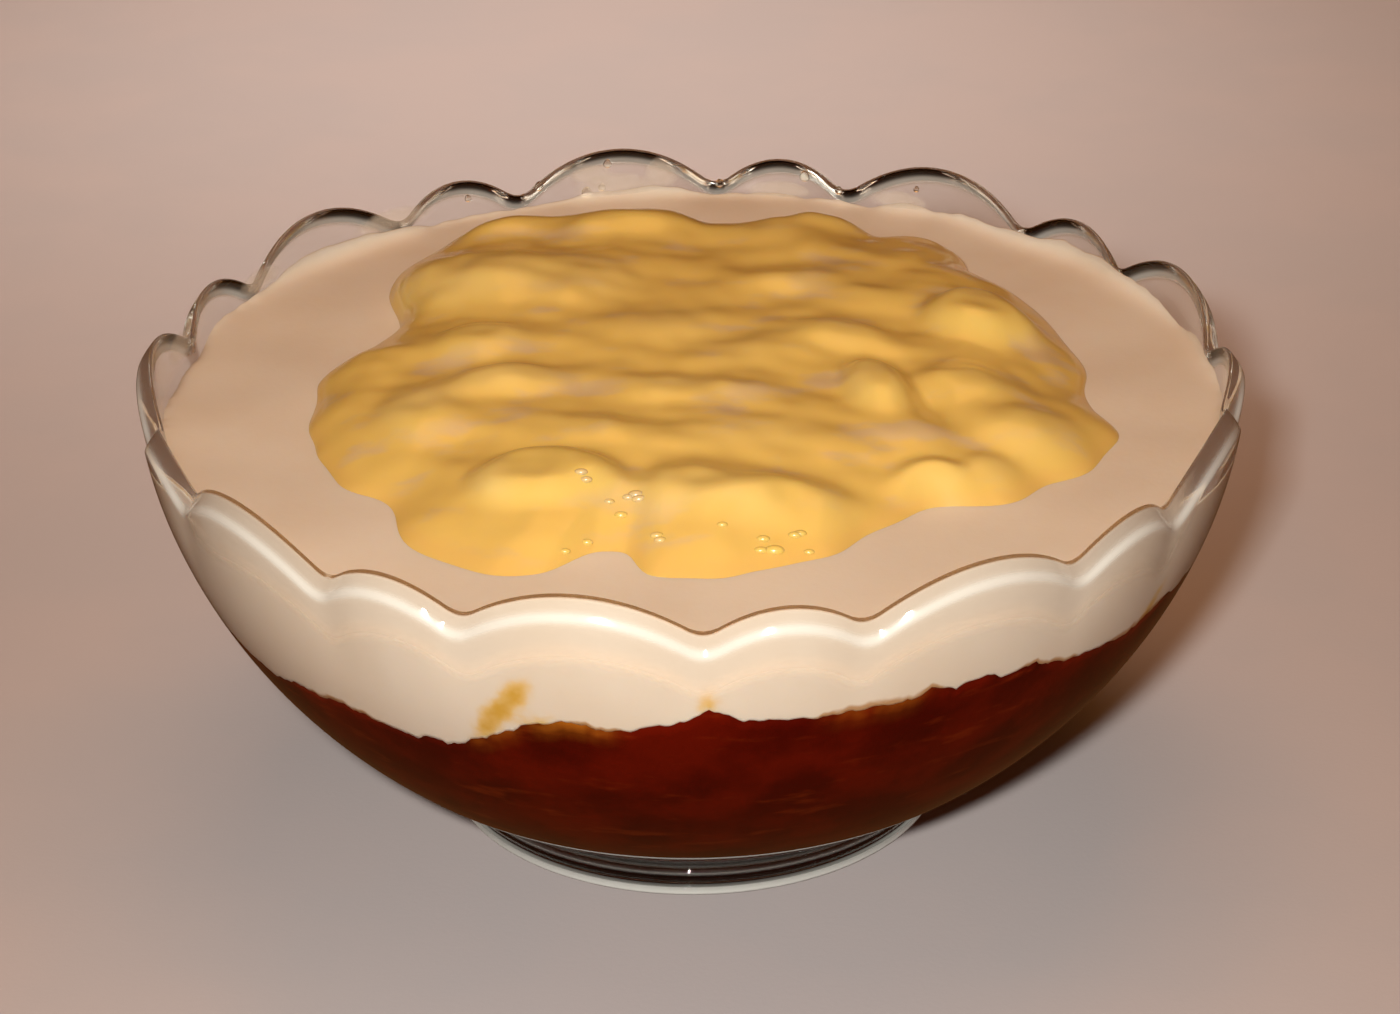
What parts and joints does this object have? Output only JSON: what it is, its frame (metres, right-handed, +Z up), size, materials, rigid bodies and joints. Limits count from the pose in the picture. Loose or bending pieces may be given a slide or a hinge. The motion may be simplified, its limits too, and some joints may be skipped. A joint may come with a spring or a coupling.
{
  "type": "stewed apricot dessert in a glass bowl",
  "caption": "Clear scalloped glass serving bowl on a low foot, filled with dark stewed apricots under a layer of cream and a lumpy heap of yellow custard.",
  "frame": {"origin": "on the table, under the middle of the bowl's foot", "axes": "+Z up out of the bowl, -Y towards the side that faces the viewer, +X to the viewer's right"},
  "size_m": [0.2294, 0.2279, 0.1021],
  "materials": {
    "clear_glass": "clear, smooth pressed glass",
    "stewed_apricot": "dark red-brown cooked fruit, wet, with faint fibres",
    "cream": "pale, soft satin with gentle streaks",
    "custard": "yellow, lumpy, wet gloss"
  },
  "bodies": {
    "root": {"glass_bowl": "clear_glass", "apricot_stew": "stewed_apricot", "cream_layer": "cream", "custard_heap": "custard"}
  },
  "joints": []
}
